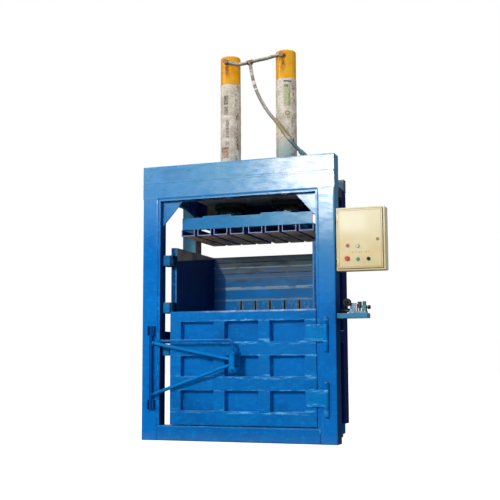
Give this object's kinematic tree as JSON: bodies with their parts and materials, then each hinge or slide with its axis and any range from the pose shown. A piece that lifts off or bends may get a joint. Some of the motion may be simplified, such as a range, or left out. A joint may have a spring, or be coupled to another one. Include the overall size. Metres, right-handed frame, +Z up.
{
  "type": "vertical baling press",
  "caption": "Upright recycling baler: a blue welded portal press with twin hydraulic cylinders, a ram plate, an open chamber over a hinged ribbed door and a control box.",
  "frame": {"origin": "on the floor, on the centre line of the front portal, in its front plane", "axes": "+X to the right seen from the front, +Y to the rear, +Z up"},
  "size_m": [2.051, 1.222, 3.346],
  "materials": {
    "blue_enamel": "glossy brushed enamel with scuffs",
    "shaded_blue_enamel": "enamel dulled by oil mist",
    "worn_blue_plate": "enamel rubbed to bare steel at the edges",
    "orange_enamel": "glossy enamel",
    "printed_paper": "creased paper packing held on by tape",
    "dark_steel": "oiled black steel",
    "chromed_steel": "ground and hard chromed",
    "cream_enamel": "fine textured powder coat",
    "zinc_plate": "zinc plated",
    "bright_steel": "brushed",
    "red_plastic": "moulded",
    "white_plastic": "moulded",
    "green_plastic": "moulded",
    "black_plastic": "moulded",
    "pale_blue_enamel": "thin enamel on a machined block",
    "teal_enamel": "enamel on a casting",
    "gauge_steel": "dark case with a pale dial",
    "pipe_steel": "painted drawn pipe",
    "hose_rubber": "dusty woven sleeve",
    "bronze_fitting": "tarnished"
  },
  "bodies": {
    "frame": {"base_frame": "blue_enamel", "carrier_plate": "shaded_blue_enamel", "carrier_rails": "blue_enamel", "chamber_side_walls": "worn_blue_plate", "chamber_wall_back": "worn_blue_plate", "control_box": "cream_enamel", "cylinder_caps": "orange_enamel", "cylinder_glands": "dark_steel", "cylinder_tubes": "orange_enamel", "cylinder_wraps": "printed_paper", "device_plate": "zinc_plate", "flange_bolts": "dark_steel", "floor_planks": "worn_blue_plate", "front_posts": "blue_enamel", "head_beam_caps": "blue_enamel", "head_beams": "blue_enamel", "hinge_barrels": "blue_enamel", "hinge_pins": "dark_steel", "hose_branch": "hose_rubber", "hose_fittings": "bronze_fitting", "hose_left": "hose_rubber", "hose_right": "hose_rubber", "hose_riser": "pipe_steel", "hose_tee": "bronze_fitting", "latch_keepers": "blue_enamel", "opening_liner": "blue_enamel", "pipe_mounts": "blue_enamel", "portal_ties": "blue_enamel", "pressure_gauge": "gauge_steel", "rear_columns": "blue_enamel", "rear_girders": "blue_enamel", "relief_valve": "teal_enamel", "sill": "blue_enamel", "strap_guides": "blue_enamel", "valve_block": "pale_blue_enamel", "valve_coil": "black_plastic", "valve_pipe": "pipe_steel", "valve_shelf": "blue_enamel", "wall_ribs": "blue_enamel"},
    "ram": {"ram_planks": "worn_blue_plate", "ram_frame": "blue_enamel", "rod_plates": "blue_enamel", "ram_rods": "chromed_steel"},
    "door": {"door_panel": "blue_enamel", "door_rails": "blue_enamel", "door_stiles": "blue_enamel", "door_strap_channels": "worn_blue_plate", "hinge_leaves": "blue_enamel", "latch_catch": "blue_enamel"},
    "latch_arm": {"latch_arm": "blue_enamel"},
    "latch_pin": {"latch_pin": "blue_enamel"},
    "box_door": {"control_box_door": "cream_enamel", "button_bezels": "bright_steel"},
    "box_lock": {"box_lock": "bright_steel"},
    "button_red": {"button_red": "red_plastic"},
    "button_white": {"button_white": "white_plastic"},
    "stop_button": {"stop_button": "red_plastic"},
    "button_green": {"button_green": "green_plastic"},
    "selector_knob": {"selector_knob": "black_plastic"},
    "relief_knob": {"relief_knob": "black_plastic"}
  },
  "joints": [
    {"name": "ram_travel", "type": "slide", "parent": "frame", "child": "ram", "axis": [0, 0, -1], "range_m": [0, 1.04]},
    {"name": "door_swing", "type": "hinge", "parent": "frame", "child": "door", "pos_m": [0.748, -0.022, 0.5], "axis": [0, 0, 1], "range_deg": [0, 110]},
    {"name": "latch_arm_swing", "type": "hinge", "parent": "door", "child": "latch_arm", "pos_m": [0.008, -0.092, 0.64], "axis": [0, 0, 1], "range_deg": [0, 150]},
    {"name": "latch_pin_lift", "type": "slide", "parent": "door", "child": "latch_pin", "axis": [0, 0, 1], "range_m": [0, 0.155]},
    {"name": "box_door_swing", "type": "hinge", "parent": "frame", "child": "box_door", "pos_m": [0.846, 0.013, 1.58], "axis": [0, 0, -1], "range_deg": [0, 110]},
    {"name": "box_lock_turn", "type": "hinge", "parent": "box_door", "child": "box_lock", "pos_m": [1.166, 0.007, 1.572], "axis": [0, 1, 0], "range_deg": [0, 90]},
    {"name": "selector_turn", "type": "hinge", "parent": "box_door", "child": "selector_knob", "pos_m": [1.092, 0.003, 1.422], "axis": [0, -1, 0], "range_deg": [-45, 45]},
    {"name": "relief_knob_turn", "type": "hinge", "parent": "frame", "child": "relief_knob", "pos_m": [1.064, 0.082, 1.052], "axis": [1, 0, 0], "range_deg": [-180, 180]},
    {"name": "button_red_press", "type": "slide", "parent": "box_door", "child": "button_red", "axis": [0, 1, 0], "range_m": [0, 0.004], "stiffness_N_per_m": 600, "springref_m": -0.001},
    {"name": "button_white_press", "type": "slide", "parent": "box_door", "child": "button_white", "axis": [0, 1, 0], "range_m": [0, 0.004], "stiffness_N_per_m": 600, "springref_m": -0.001},
    {"name": "stop_button_press", "type": "slide", "parent": "box_door", "child": "stop_button", "axis": [0, 1, 0], "range_m": [0, 0.004], "stiffness_N_per_m": 600, "springref_m": -0.001},
    {"name": "button_green_press", "type": "slide", "parent": "box_door", "child": "button_green", "axis": [0, 1, 0], "range_m": [0, 0.004], "stiffness_N_per_m": 600, "springref_m": -0.001}
  ]
}
